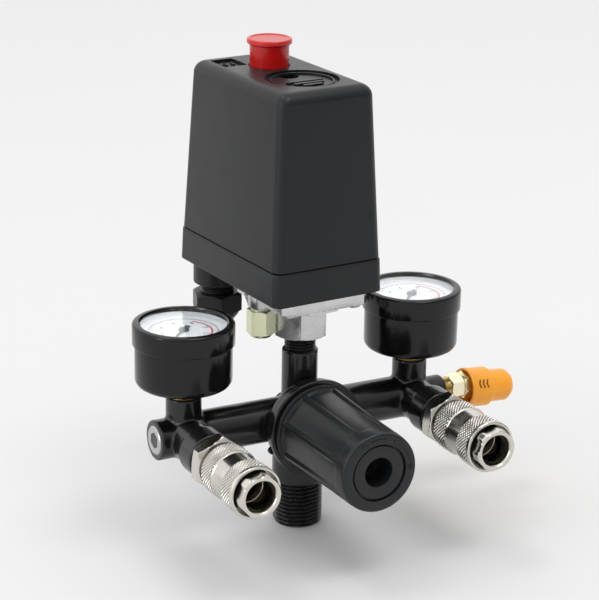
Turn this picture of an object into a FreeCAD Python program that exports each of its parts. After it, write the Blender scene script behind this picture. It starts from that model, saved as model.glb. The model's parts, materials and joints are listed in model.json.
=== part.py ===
import FreeCAD, Part
import math
import os

# Pressure switch on a compressor manifold. Millimetres. Origin: centre of the tank thread's
# bottom face; +Z up the column, +X along the crossbar to the safety valve, -Y to the couplers.

# ---- manifold
THREAD_R = 10.48
THREAD_TOP = 19.5
LOWER_R = 11.0
BAR_Z = 47.9
BAR_R = 9.1
BAR_HALF = 58.0
LEFT_END = -66.7
RIGHT_END = 69.6
SIDE_X = 53.6
COLUMN_R = 7.56
COLUMN_TOP = 78.0
NIPPLE_R = 6.58
NIPPLE_TOP = 96.0
REG_Z = 47.4

# ---- switch, built square and then turned about Z
SWITCH_YAW = 3.5
PORT_BOTTOM = 84.2
PLATE_BOTTOM = 100.5
BASE_BOTTOM = 105.3
SEAM_Z = 119.25
COVER_TOP = 192.0
BASE_X = 25.5
BASE_Y0 = -22.5
BASE_Y1 = 58.0
WALL = 2.4
EDGE_R = 4.6
KNOB_AT = (1.6, 30.5)
SCREW_AT = (0.85, 13.6)
GLAND_X = 12.75
GLAND_Y = 47.6
UNLOADER = (-17.5, 2.7)
NEEDLE_ZERO = 225.0
PLATE_SCREWS = [(-15.0, -16.5), (-15.0, 15.5), (15.0, -16.5), (15.0, 15.5)]

X = FreeCAD.Vector(1, 0, 0)
Y = FreeCAD.Vector(0, 1, 0)
Z = FreeCAD.Vector(0, 0, 1)


def vec(x, y, z):
    return FreeCAD.Vector(x, y, z)


def rod(r, a, b, axis, centre=(0.0, 0.0)):
    """Cylinder of radius r from a to b along axis; centre is its other two coordinates in XYZ order."""
    p, q = centre
    low = min(a, b)
    start = {"x": vec(low, p, q), "y": vec(p, low, q), "z": vec(p, q, low)}[axis]
    way = {"x": X, "y": Y, "z": Z}[axis]
    return Part.makeCylinder(r, abs(b - a), start, way)


def cone(r_a, r_b, a, b, axis, centre=(0.0, 0.0)):
    """Cone of radius r_a at a and r_b at b, with a below b."""
    p, q = centre
    start = {"x": vec(a, p, q), "y": vec(p, a, q), "z": vec(p, q, a)}[axis]
    way = {"x": X, "y": Y, "z": Z}[axis]
    return Part.makeCone(r_a, r_b, b - a, start, way)


def box(x0, x1, y0, y1, z0, z1):
    return Part.makeBox(x1 - x0, y1 - y0, z1 - z0, vec(x0, y0, z0))


def hexagon(corner_r, a, b, axis, centre, turn=0.0):
    """Hexagonal bar along axis, its first corner turned by `turn` degrees."""
    points = []
    for k in range(7):
        t = math.radians(turn + 60.0 * k)
        u = centre[0] + corner_r * math.cos(t)
        v = centre[1] + corner_r * math.sin(t)
        points.append({"x": vec(a, u, v), "y": vec(u, a, v), "z": vec(u, v, a)}[axis])
    way = {"x": X, "y": Y, "z": Z}[axis]
    return Part.Face(Part.makePolygon(points)).extrude(way * (b - a))


def fuse(shapes):
    solid = shapes[0].multiFuse(shapes[1:])
    return solid.removeSplitter()


def cut(shape, tools):
    for tool in tools:
        shape = shape.cut(tool)
    return shape.removeSplitter()


def coil(radius, wire, start, end, turns, axis, centre=(0.0, 0.0)):
    """Round-wire compression spring between two planes; its ends lie one wire radius inside them."""
    low = min(start, end) + wire
    rise = abs(end - start) - 2.0 * wire
    helix = Part.makeHelix(rise / turns, rise, radius)
    profile = Part.Wire([Part.makeCircle(wire, vec(radius, 0, 0), Y)])
    spring = Part.Wire(helix.Edges).makePipeShell([profile], True, True)
    p, q = centre
    if axis == "x":
        spring.rotate(vec(0, 0, 0), Y, 90)
        spring.translate(vec(low, p, q))
    elif axis == "y":
        spring.rotate(vec(0, 0, 0), X, -90)
        spring.translate(vec(p, low, q))
    else:
        spring.translate(vec(p, q, low))
    return spring


def rounded_wire(x0, x1, y0, y1, z, r):
    face = Part.makePlane(x1 - x0, y1 - y0, vec(x0, y0, z))
    prism = face.extrude(Z)
    edges = [e for e in prism.Edges if abs(e.Vertexes[0].Z - e.Vertexes[-1].Z) > 0.5]
    prism = prism.makeFillet(r, edges)
    flat = [f for f in prism.Faces if abs(f.CenterOfMass.z - z) < 0.001][0]
    return flat.OuterWire


def drafted(low, high, r):
    """Tapered block with round corners between two rectangles (x0, x1, y0, y1, z)."""
    return Part.makeLoft([rounded_wire(*low, r), rounded_wire(*high, r)], True, True)


# ------------------------------------------------------------------ manifold

def manifold_body():
    bar = (0.0, BAR_Z)
    solids = [
        rod(THREAD_R, 0.0, THREAD_TOP, "z"),
        rod(LOWER_R, THREAD_TOP, BAR_Z, "z"),
        rod(COLUMN_R, BAR_Z, COLUMN_TOP, "z"),
        rod(NIPPLE_R, COLUMN_TOP, NIPPLE_TOP, "z"),
        rod(BAR_R, -BAR_HALF, BAR_HALF, "x", bar),
        rod(8.4, LEFT_END, -BAR_HALF, "x", bar),
        rod(7.4, BAR_HALF, 64.0, "x", bar),
        cone(7.4, 6.0, 64.0, RIGHT_END, "x", bar),
        rod(14.0, -9.0, -4.0, "y", (0.0, REG_Z)),
        cone(14.0, 8.0, -4.0, 0.0, "y", (0.0, REG_Z)),
        rod(7.6, -4.0, 12.0, "y", (0.0, REG_Z)),
        rod(20.0, -12.4, -9.0, "y", (0.0, REG_Z)),
    ]
    for side in (-1, 1):
        x = side * SIDE_X
        solids.append(rod(7.4, BAR_Z, 65.6, "z", (x, 0.0)))
        solids.append(rod(8.8, -16.0, 0.0, "y", (x, BAR_Z)))
        solids.append(rod(10.2, -27.6, -16.0, "y", (x, BAR_Z)))
    body = fuse(solids)
    bores = [
        rod(4.0, 0.0, NIPPLE_TOP, "z"),
        rod(3.6, -60.0, 64.0, "x", bar),
        rod(6.2, LEFT_END, -60.0, "x", bar),
        rod(4.6, 64.0, RIGHT_END, "x", bar),
        rod(15.0, -12.4, -10.4, "y", (0.0, REG_Z)),
        rod(5.6, -10.4, 9.0, "y", (0.0, REG_Z)),
    ]
    for side in (-1, 1):
        x = side * SIDE_X
        bores.append(rod(6.2, 54.0, 65.6, "z", (x, 0.0)))
        bores.append(rod(3.0, BAR_Z, 54.0, "z", (x, 0.0)))
        bores.append(rod(6.4, -27.6, -12.0, "y", (x, BAR_Z)))
        bores.append(rod(4.0, -12.0, 0.0, "y", (x, BAR_Z)))
    return cut(body, bores)


def end_plug():
    centre = (0.0, BAR_Z)
    plug = rod(6.2, LEFT_END - 0.4, -60.0, "x", centre)
    return cut(plug, [hexagon(3.6, LEFT_END - 0.4, -63.0, "x", centre, 30.0)])


def regulator_bonnet():
    axis = (0.0, REG_Z)
    shell = fuse([
        rod(21.0, -16.2, -13.6, "y", axis),
        rod(13.2, -40.0, -16.2, "y", axis),
    ])
    return cut(shell, [
        rod(11.0, -37.0, -13.6, "y", axis),
        rod(4.08, -40.0, -37.0, "y", axis),
    ])


def regulator_knob():
    axis = (0.0, REG_Z)
    outer = fuse([
        rod(19.6, -18.6, -16.9, "y", axis),
        cone(16.86, 18.6, -68.6, -18.6, "y", axis),
    ])
    shell = cut(outer, [rod(14.6, -62.0, -16.9, "y", axis), rod(6.2, -68.6, -62.0, "y", axis)])
    hub = cut(rod(9.0, -62.0, -42.0, "y", axis), [
        rod(6.2, -62.0, -57.0, "y", axis),
        rod(4.0, -57.0, -42.0, "y", axis),
    ])
    web = cut(rod(14.8, -62.0, -59.0, "y", axis), [rod(8.8, -62.0, -59.0, "y", axis)])
    return fuse([shell, hub, web])


def adjusting_screw():
    axis = (0.0, REG_Z)
    return fuse([
        rod(4.0, -57.0, -18.5, "y", axis),
        rod(6.0, -36.4, -34.6, "y", axis),
    ])


def spring_seat():
    axis = (0.0, REG_Z)
    plate = fuse([rod(9.6, -31.0, -28.8, "y", axis), rod(6.4, -28.8, -26.0, "y", axis)])
    return cut(plate, [rod(4.06, -31.0, -26.0, "y", axis)])


def regulator_spring():
    return coil(8.2, 1.1, -28.8, -16.8, 3.5, "y", (0.0, REG_Z))


def regulator_diaphragm():
    axis = (0.0, REG_Z)
    return cut(rod(19.4, -13.6, -12.4, "y", axis), [rod(2.5, -13.6, -12.4, "y", axis)])


def regulator_poppet():
    axis = (0.0, REG_Z)
    return fuse([
        rod(9.6, -16.7, -14.8, "y", axis),
        rod(2.0, -14.8, 3.0, "y", axis),
        rod(4.4, 0.5, 3.0, "y", axis),
    ])


def poppet_spring():
    return coil(3.6, 0.55, 3.1, 8.9, 3.0, "y", (0.0, REG_Z))


# ------------------------------------------------------------------ gauges

def gauge_case(x):
    outer = fuse([
        rod(20.0, 72.3, 88.3, "z", (x, 0.0)),
        cone(18.2, 20.0, 70.5, 72.3, "z", (x, 0.0)),
        rod(19.8, 88.3, 95.3, "z", (x, 0.0)),
    ])
    return cut(outer, [
        rod(16.0, 71.8, 92.6, "z", (x, 0.0)),
        rod(18.5, 92.6, 95.3, "z", (x, 0.0)),
        rod(3.0, 70.5, 71.8, "z", (x, 0.0)),
    ])


def gauge_bezel(x):
    return cut(rod(21.0, 88.35, 97.45, "z", (x, 0.0)), [
        rod(19.8, 88.35, 96.8, "z", (x, 0.0)),
        cone(17.5, 18.2, 96.8, 97.45, "z", (x, 0.0)),
    ])


def gauge_lens(x):
    return rod(19.7, 95.3, 96.8, "z", (x, 0.0))


def gauge_dial(x):
    return cut(rod(18.4, 92.6, 93.4, "z", (x, 0.0)), [rod(1.6, 92.6, 93.4, "z", (x, 0.0))])


def gauge_needle(x):
    pointer = box(x - 5.0, x + 13.5, -0.5, 0.5, 93.9, 94.3)
    pointer.rotate(vec(x, 0.0, 93.9), Z, NEEDLE_ZERO)
    hub = rod(2.2, 93.8, 94.9, "z", (x, 0.0))
    return fuse([rod(0.6, 82.0, 94.2, "z", (x, 0.0)), rod(0.9, 83.0, 86.0, "z", (x, 0.0)), pointer, hub])


def gauge_stem(x):
    return fuse([
        rod(6.2, 55.0, 65.8, "z", (x, 0.0)),
        hexagon(5.9, 65.8, 70.5, "z", (x, 0.0), 12.0),
        rod(3.0, 70.5, 71.8, "z", (x, 0.0)),
        rod(5.0, 71.8, 79.0, "z", (x, 0.0)),
        rod(14.8, 79.0, 80.4, "z", (x, 0.0)),
        box(x - 2.2, x + 2.2, 11.0, 14.2, 80.4, 82.1),
    ])


def bourdon_tube(x):
    ring = Part.makeTorus(13.0, 1.4, vec(x, 0.0, 83.5), Z, -180, 180, 250)
    ring.rotate(vec(x, 0.0, 83.5), Z, 90)
    return ring


def sector_gear(x):
    pivot = 9.9
    blade = Part.makeCylinder(8.4, 1.2, vec(x + pivot, 0.0, 84.0), Z, 36)
    blade.rotate(vec(x + pivot, 0.0, 84.0), Z, 148)
    c = (x + pivot, 0.0)
    return fuse([blade, rod(0.8, 80.6, 86.6, "z", c), rod(1.1, 84.0, 85.2, "z", c)])


# ------------------------------------------------------------------ quick couplers

def coupler_body(x):
    c = (x, BAR_Z)
    outer = fuse([
        rod(6.4, -29.0, -17.0, "y", c),
        hexagon(12.0, -35.6, -29.0, "y", c, 25.0),
        rod(8.2, -66.0, -35.6, "y", c),
        rod(9.4, -40.0, -38.6, "y", c),
        rod(9.0, -70.75, -58.3, "y", c),
    ])
    bores = [
        rod(6.3, -70.75, -59.0, "y", c),
        rod(6.1, -59.0, -50.0, "y", c),
        cone(7.0, 6.3, -70.75, -69.6, "y", c),
        rod(4.6, -50.0, -47.0, "y", c),
        rod(6.0, -47.0, -31.0, "y", c),
        rod(4.0, -31.0, -17.0, "y", c),
    ]
    for k in range(6):
        hole = Part.makeCylinder(1.75, 4.0, vec(x + 5.0, -55.0, BAR_Z), X)
        hole.rotate(vec(x, -55.0, BAR_Z), Y, 30.0 + 60.0 * k)
        bores.append(hole)
    return cut(outer, bores)


def coupler_sleeve(x):
    c = (x, BAR_Z)
    outer = fuse([
        rod(10.9, -47.0, -38.1, "y", c),
        rod(10.3, -56.5, -47.0, "y", c),
        rod(10.9, -64.0, -56.5, "y", c),
        rod(11.0, -66.0, -64.0, "y", c),
    ])
    return cut(outer, [
        rod(9.8, -52.0, -38.1, "y", c),
        rod(8.28, -58.0, -52.0, "y", c),
        rod(9.9, -66.0, -58.0, "y", c),
    ])


def coupler_sleeve_spring(x):
    return coil(9.0, 0.45, -51.9, -40.1, 3.5, "y", (x, BAR_Z))


def coupler_balls(x):
    balls = []
    for k in range(6):
        ball = Part.makeSphere(1.55, vec(x + 6.6, -55.0, BAR_Z))
        ball.rotate(vec(x, -55.0, BAR_Z), Y, 30.0 + 60.0 * k)
        balls.append(ball)
    return Part.makeCompound(balls)


def coupler_valve(x):
    c = (x, BAR_Z)
    return fuse([
        rod(5.5, -46.9, -44.6, "y", c),
        rod(3.2, -52.0, -46.9, "y", c),
        rod(2.4, -44.6, -40.0, "y", c),
    ])


def coupler_valve_spring(x):
    return coil(4.6, 0.45, -44.5, -31.1, 5.0, "y", (x, BAR_Z))


# ------------------------------------------------------------------ safety valve

def relief_body():
    c = (0.0, BAR_Z)
    outer = fuse([
        rod(4.6, 64.5, 73.0, "x", c),
        hexagon(6.0, 73.0, 79.3, "x", c, 25.0),
        rod(4.7, 79.3, 80.1, "x", c),
        hexagon(6.0, 80.1, 86.0, "x", c, 10.0),
        rod(4.0, 86.0, 89.0, "x", c),
    ])
    return cut(outer, [
        rod(1.9, 64.5, 73.4, "x", c),
        rod(3.3, 73.4, 86.4, "x", c),
        rod(1.5, 86.4, 89.0, "x", c),
    ])


def relief_cap():
    drop = 1.6
    tilt = 4.6
    c = (0.0, BAR_Z - drop)
    outer = fuse([
        rod(8.7, 81.4, 92.6, "x", c),
        cone(8.7, 7.1, 92.6, 94.0, "x", c),
        rod(7.1, 94.0, 102.6, "x", c),
        cone(7.1, 5.6, 102.6, 104.4, "x", c),
    ])
    shell = cut(outer, [
        rod(7.9, 81.4, 92.0, "x", c),
        rod(6.0, 96.0, 103.0, "x", c),
    ])
    shell.rotate(vec(82.0, 0.0, BAR_Z - drop), Y, tilt)
    return cut(shell, [rod(2.0, 90.0, 98.0, "x", (0.0, BAR_Z))])


def relief_stem():
    c = (0.0, BAR_Z)
    return fuse([
        rod(2.9, 73.6, 75.6, "x", c),
        rod(1.2, 75.6, 99.4, "x", c),
        rod(2.6, 97.8, 99.4, "x", c),
    ])


def relief_spring():
    return coil(2.3, 0.45, 75.7, 86.3, 6.0, "x", (0.0, BAR_Z))


# ------------------------------------------------------------------ switch

def turned(shape):
    shape.rotate(vec(0, 0, 0), Z, SWITCH_YAW)
    return shape


def switch_base():
    bottom = (-BASE_X - 0.3, BASE_X + 0.3, BASE_Y0 - 0.3, BASE_Y1 + 0.3, BASE_BOTTOM)
    top = (-BASE_X + 0.1, BASE_X - 0.1, BASE_Y0 + 0.1, BASE_Y1 - 0.1, SEAM_Z)
    block = drafted(bottom, top, 2.0)
    pocket = drafted(
        (-BASE_X + WALL, BASE_X - WALL, BASE_Y0 + WALL, BASE_Y1 - WALL, BASE_BOTTOM + 3.0),
        (-BASE_X + WALL, BASE_X - WALL, BASE_Y0 + WALL, BASE_Y1 - WALL, SEAM_Z), 1.5)
    shell = block.cut(pocket)
    solids = [shell, rod(5.0, BASE_BOTTOM + 2.0, 164.8, "z", SCREW_AT)]
    holes = [rod(1.8, 146.0, 164.8, "z", SCREW_AT), rod(6.6, BASE_BOTTOM, 110.0, "z")]
    holes += [rod(1.9, BASE_BOTTOM, 107.5, "z", c) for c in PLATE_SCREWS]
    for side in (-1, 1):
        x = side * GLAND_X
        solids.append(rod(10.3, 95.4, BASE_BOTTOM + 1.0, "z", (x, GLAND_Y)))
        holes.append(rod(6.0, 95.4, 110.0, "z", (x, GLAND_Y)))
    holes.append(rod(3.2, BASE_BOTTOM, 110.0, "z", UNLOADER))
    return turned(cut(fuse(solids), holes))


def switch_cover():
    inset = 3.6
    low = (-BASE_X + 0.2, BASE_X - 0.2, BASE_Y0 + 0.2, BASE_Y1 - 0.2, SEAM_Z)
    high = (-BASE_X + inset, BASE_X - inset, BASE_Y0 + inset, BASE_Y1 - 3.0, COVER_TOP)
    wires = [rounded_wire(*low, EDGE_R + 0.6)]
    for k in range(7):
        t = math.radians(15.0 * k)
        back = EDGE_R * (1.0 - math.cos(t))
        z = COVER_TOP - EDGE_R * (1.0 - math.sin(t))
        wires.append(rounded_wire(high[0] + back, high[1] - back, high[2] + back, high[3] - back, z,
                                  EDGE_R + 0.4 - back))
    block = Part.makeLoft(wires, True, True)
    inner_low = (low[0] + WALL, low[1] - WALL, low[2] + WALL, low[3] - WALL, SEAM_Z)
    inner_high = (high[0] + WALL, high[1] - WALL, high[2] + WALL, high[3] - WALL, COVER_TOP - 2.6)
    shell = block.cut(drafted(inner_low, inner_high, 1.5))
    tube = rod(6.2, 165.0, COVER_TOP - 2.0, "z", SCREW_AT)
    recess = rod(15.2, COVER_TOP - 0.9, COVER_TOP + 1.0, "z", (1.0, 3.4))
    side_recess = box(-16.6, -6.2, 34.8, 48.2, COVER_TOP - 0.7, COVER_TOP + 1.0)
    return turned(cut(fuse([shell, tube]), [
        recess,
        side_recess,
        rod(4.1, 170.0, COVER_TOP + 1.0, "z", SCREW_AT),
        rod(2.2, 165.0, 170.0, "z", SCREW_AT),
        rod(8.7, 185.0, COVER_TOP + 1.0, "z", KNOB_AT),
    ]))


def cover_screw():
    screw = fuse([rod(3.6, 170.0, 173.0, "z", SCREW_AT), rod(1.8, 148.0, 170.0, "z", SCREW_AT)])
    x, y = SCREW_AT
    slot = box(x - 3.0, x + 3.0, y - 0.5, y + 0.5, 171.6, 173.0)
    cross = box(x - 0.5, x + 0.5, y - 3.0, y + 3.0, 171.6, 173.0)
    return turned(cut(screw, [slot, cross]))


def switch_knob():
    rim = rod(9.4, 201.1, 203.4, "z", KNOB_AT)
    rim = rim.makeFillet(1.0, [e for e in rim.Edges if len(e.Vertexes) == 1])
    stem = [rod(8.25, 172.0, 202.0, "z", KNOB_AT), rod(3.0, 142.0, 172.0, "z", KNOB_AT)]
    return turned(fuse([rim] + stem))


def flange_plate():
    plate = box(-20.5, 20.5, -22.0, 21.0, PLATE_BOTTOM, BASE_BOTTOM)
    corners = [e for e in plate.Edges if abs(e.Vertexes[0].Z - e.Vertexes[-1].Z) > 1.0]
    plate = plate.makeChamfer(3.6, corners)
    port = hexagon(12.1, PORT_BOTTOM, PLATE_BOTTOM, "z", (0.0, 0.0), 0.0)
    port = port.common(cone(10.4, 20.0, PORT_BOTTOM, PLATE_BOTTOM, "z"))
    step = box(-19.0, 5.0, -21.6, 16.0, PLATE_BOTTOM - 0.9, PLATE_BOTTOM)
    notch = rod(8.5, PLATE_BOTTOM - 1.0, BASE_BOTTOM, "z", (-19.5, 2.7))
    holes = [notch, rod(NIPPLE_R, PORT_BOTTOM, 97.0, "z"), rod(4.0, 97.0, BASE_BOTTOM, "z")]
    holes.append(rod(9.8, 103.3, BASE_BOTTOM, "z"))
    holes += [rod(1.9, PLATE_BOTTOM - 1.0, BASE_BOTTOM, "z", c) for c in PLATE_SCREWS]
    return turned(cut(fuse([plate, port, step]), holes))


def flange_screws():
    screws = []
    for c in PLATE_SCREWS:
        face = PLATE_BOTTOM - 0.9 if c[0] < 0.0 else PLATE_BOTTOM
        screws.append(fuse([rod(3.4, face - 1.9, face, "z", c), rod(1.9, face, 107.4, "z", c)]))
    return turned(Part.makeCompound(screws))


def switch_diaphragm():
    return turned(rod(9.8, 103.3, 104.4, "z"))


def diaphragm_piston():
    return turned(fuse([rod(6.5, 105.4, 111.0, "z"), rod(3.0, 111.0, 115.4, "z")]))


def rocker():
    solids = [
        box(-9.0, 9.0, -18.0, 4.0, 115.5, 117.0),
        box(-9.0, -6.6, 4.0, 40.0, 115.5, 117.0),
        box(6.6, 9.0, 4.0, 40.0, 115.5, 117.0),
        box(-9.0, 9.0, 36.0, 40.0, 115.5, 117.0),
        rod(1.2, -13.6, 13.6, "x", (-18.0, 116.3)),
    ]
    return turned(fuse(solids))


def spring_bracket():
    solids = [box(-14.0, 14.0, -8.0, 6.4, 150.0, 152.0)]
    for side in (-1, 1):
        solids.append(box(side * 13.0 - 1.0, side * 13.0 + 1.0, -8.0, 6.4, 108.3, 150.0))
        solids.append(box(side * 13.0 - 1.0, side * 13.0 + 1.0, -19.8, -8.0, 108.3, 120.0))
    frame = fuse(solids)
    return turned(cut(frame, [rod(3.0, 150.0, 152.0, "z"), rod(1.3, -15.0, 15.0, "x", (-18.0, 116.3))]))


def main_spring():
    return turned(coil(5.4, 0.9, 117.1, 140.4, 6.0, "z"))


def range_screw():
    seat = rod(6.5, 140.4, 142.4, "z")
    return turned(fuse([seat, rod(3.0, 136.0, 160.0, "z"), hexagon(5.6, 152.0, 156.0, "z", (0.0, 0.0))]))


def terminal_block():
    block = box(-20.0, 20.0, 44.0, 54.0, 112.0, 128.0)
    feet = box(-20.0, 20.0, 52.0, 55.5, 108.3, 112.0)
    slots = []
    for k in range(4):
        slots.append(box(-17.5 + 9.5 * k, -10.5 + 9.5 * k, 44.0, 52.0, 122.0, 128.0))
    return turned(cut(fuse([block, feet]), slots))


def terminal_hardware():
    solids = []
    for k in range(4):
        x = -14.0 + 9.5 * k
        plate = box(x - 3.0, x + 3.0, 44.5, 51.5, 122.0, 123.2)
        solids.append(fuse([plate, rod(2.4, 123.2, 126.0, "z", (x, 48.0))]))
    return turned(Part.makeCompound(solids))


def gland_bodies():
    solids = []
    for side in (-1, 1):
        c = (side * GLAND_X, GLAND_Y)
        tube = fuse([rod(6.0, 95.4, 108.2, "z", c), rod(7.3, 80.0, 95.4, "z", c)])
        solids.append(cut(tube, [rod(4.6, 80.0, 108.2, "z", c)]))
    return turned(Part.makeCompound(solids))


def gland_nuts():
    solids = []
    for side in (-1, 1):
        c = (side * GLAND_X, GLAND_Y)
        nut = hexagon(11.2, 82.6, 91.4, "z", c, 10.0)
        nut = fuse([nut, cone(8.0, 10.0, 79.0, 82.6, "z", c)])
        solids.append(cut(nut, [rod(7.3, 80.0, 91.4, "z", c), rod(4.6, 79.0, 80.0, "z", c)]))
    return turned(Part.makeCompound(solids))


def unloader_body():
    c = UNLOADER
    tube = fuse([
        rod(3.2, 98.5, 110.0, "z", c),
        rod(4.4, 86.0, 98.5, "z", c),
        rod(5.6, 98.6, BASE_BOTTOM, "z", c),
    ])
    return turned(cut(tube, [rod(2.0, 86.0, 92.0, "z", c), rod(1.4, 92.0, 110.0, "z", c)]))


def unloader_nut():
    c = UNLOADER
    nut = hexagon(6.1, 84.8, 96.6, "z", c, 20.0)
    nut = nut.common(cone(4.9, 12.0, 84.8, 96.6, "z", c))
    return turned(cut(nut, [rod(4.4, 86.0, 96.6, "z", c), rod(2.0, 84.8, 86.0, "z", c)]))


os.makedirs("parts", exist_ok=True)
SINGLE = [
    manifold_body, end_plug, regulator_bonnet, regulator_knob, adjusting_screw, spring_seat, regulator_spring,
    regulator_diaphragm, regulator_poppet, poppet_spring, relief_body, relief_cap, relief_stem, relief_spring,
    switch_base, switch_cover, cover_screw, switch_knob, flange_plate, flange_screws, switch_diaphragm,
    diaphragm_piston, rocker, spring_bracket, main_spring, range_screw, terminal_block, terminal_hardware,
    gland_bodies, gland_nuts, unloader_body, unloader_nut,
]
PAIRED = [
    gauge_case, gauge_bezel, gauge_lens, gauge_dial, gauge_needle, gauge_stem, bourdon_tube, sector_gear,
    coupler_body, coupler_sleeve, coupler_sleeve_spring, coupler_balls, coupler_valve, coupler_valve_spring,
]
for make in SINGLE:
    make().exportStep("parts/" + make.__name__ + ".step")
for make in PAIRED:
    make(-SIDE_X).exportStep("parts/" + make.__name__ + "_left.step")
    make(SIDE_X).exportStep("parts/" + make.__name__ + "_right.step")
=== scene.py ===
import json
import math

import bmesh
import bpy
import numpy as np
from mathutils import Matrix, Vector


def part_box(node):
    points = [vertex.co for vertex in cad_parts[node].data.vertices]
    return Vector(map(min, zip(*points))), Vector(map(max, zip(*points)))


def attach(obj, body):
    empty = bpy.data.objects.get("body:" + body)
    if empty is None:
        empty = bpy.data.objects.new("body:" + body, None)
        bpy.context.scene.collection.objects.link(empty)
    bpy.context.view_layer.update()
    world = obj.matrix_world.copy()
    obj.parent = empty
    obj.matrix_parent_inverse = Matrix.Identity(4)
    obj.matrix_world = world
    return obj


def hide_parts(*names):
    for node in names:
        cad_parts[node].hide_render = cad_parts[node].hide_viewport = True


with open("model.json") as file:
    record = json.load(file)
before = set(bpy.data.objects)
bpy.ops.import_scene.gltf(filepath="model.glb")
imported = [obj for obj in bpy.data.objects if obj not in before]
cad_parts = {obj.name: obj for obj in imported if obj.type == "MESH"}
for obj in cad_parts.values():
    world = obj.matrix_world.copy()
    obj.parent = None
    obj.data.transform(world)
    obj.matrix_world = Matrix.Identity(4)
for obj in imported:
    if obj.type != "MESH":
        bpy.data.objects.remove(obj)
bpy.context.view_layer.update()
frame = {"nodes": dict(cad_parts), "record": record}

# Shapes are worked out in millimetres and stored in metres.
MM = 0.001
TAU = 2.0 * math.pi
SIDES = ("left", "right")


def span(node):
    """Lowest corner, highest corner and middle of a CAD node, in mm."""
    low, high = (np.array(corner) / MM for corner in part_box(node))
    return low, high, (low + high) / 2.0


# ---- driving places

BAR_Z = span("end_plug")[2][2]
REG_Z = span("regulator_bonnet")[2][2]
SIDE_X = {side: span("gauge_bezel_" + side)[2][0] for side in SIDES}
SWITCH_YAW = math.radians(3.5)
SEAM_Z = span("switch_cover")[0][2]
COVER_TOP = span("switch_cover")[1][2]
BASE_BOTTOM = span("flange_plate")[1][2]
PORT_BOTTOM = span("flange_plate")[0][2]
PLATE_BOTTOM = BASE_BOTTOM - 4.8
BASE_X, BASE_Y0, BASE_Y1 = 25.5, -22.5, 58.0
KNOB_AT = (1.6, 30.5)
SCREW_AT = (0.85, 13.6)
GLAND_X, GLAND_Y = 12.75, 47.6
UNLOADER = (-17.5, 2.7)
RECESS_AT, RECESS_DEPTH, SIDE_RECESS_DEPTH = (1.0, 3.4), 1.3, 1.2
DIAL_ZERO, DIAL_SWEEP = math.radians(225.0), math.radians(270.0)
KNURL_TEETH, KNURL_PITCH, KNURL_DEPTH = 43, 1.6, 0.65
CAP_MOUTH, CAP_DROP, CAP_TILT = 81.4, 1.6, math.radians(4.6)


# ---- meshes

def new_object(name, data):
    """A new object with this data, linked into the scene."""
    thing = bpy.data.objects.new(name, data)
    bpy.context.scene.collection.objects.link(thing)
    return thing


def settled(thing):
    """Mesh of an object with its modifiers applied; the object is removed."""
    mesh = bpy.data.meshes.new_from_object(thing.evaluated_get(bpy.context.evaluated_depsgraph_get()))
    bpy.data.objects.remove(thing)
    return mesh


def soft(value):
    """Smooth step from 0 to 1."""
    value = np.clip(value, 0.0, 1.0)
    return value * value * (3.0 - 2.0 * value)


def turn_angles(columns):
    """Evenly spaced angles round an axis."""
    return TAU * np.arange(columns) / columns


def mesh_from(name, vertices, faces, sharp=32.0):
    """Mesh of vertices in mm; doubles merged, normals outward, edges over `sharp` degrees kept hard."""
    mesh = bpy.data.meshes.new(name)
    mesh.from_pydata((np.asarray(vertices) * MM).tolist(), [], faces)
    work = bmesh.new()
    work.from_mesh(mesh)
    bmesh.ops.remove_doubles(work, verts=work.verts, dist=2e-7)
    bmesh.ops.dissolve_degenerate(work, edges=work.edges, dist=1e-8)
    bmesh.ops.recalc_face_normals(work, faces=work.faces)
    work.to_mesh(mesh)
    work.free()
    mesh.shade_smooth()
    mesh.set_sharp_from_angle(angle=math.radians(sharp))
    return mesh


def grid_faces(rows, columns, wrap_rows, wrap_columns):
    """Quads of a grid of points; either direction may close on itself."""
    index = np.arange(rows * columns).reshape(rows, columns)
    below = np.roll(index, -1, 0)
    quads = np.stack([index, np.roll(index, -1, 1), np.roll(below, -1, 1), below], -1)
    quads = quads if wrap_rows else quads[:-1]
    quads = quads if wrap_columns else quads[:, :-1]
    return quads.reshape(-1, 4).tolist()


def grid_mesh(name, points, wrap_rows=False, sharp=32.0):
    """Mesh of a grid of points (rows, columns, 3) whose columns close on themselves."""
    rows, columns = points.shape[:2]
    return mesh_from(name, points.reshape(-1, 3), grid_faces(rows, columns, wrap_rows, True), sharp)


def place(across, up, height, axis, centre):
    """Points from two coordinates across an axis and one along it; centre is where the axis runs."""
    height = np.broadcast_to(height, across.shape)
    first, second = across + centre[0], up + centre[1]
    order = {"x": (height, first, second), "y": (first, height, second), "z": (first, second, height)}[axis]
    return np.stack(order, -1)


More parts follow.
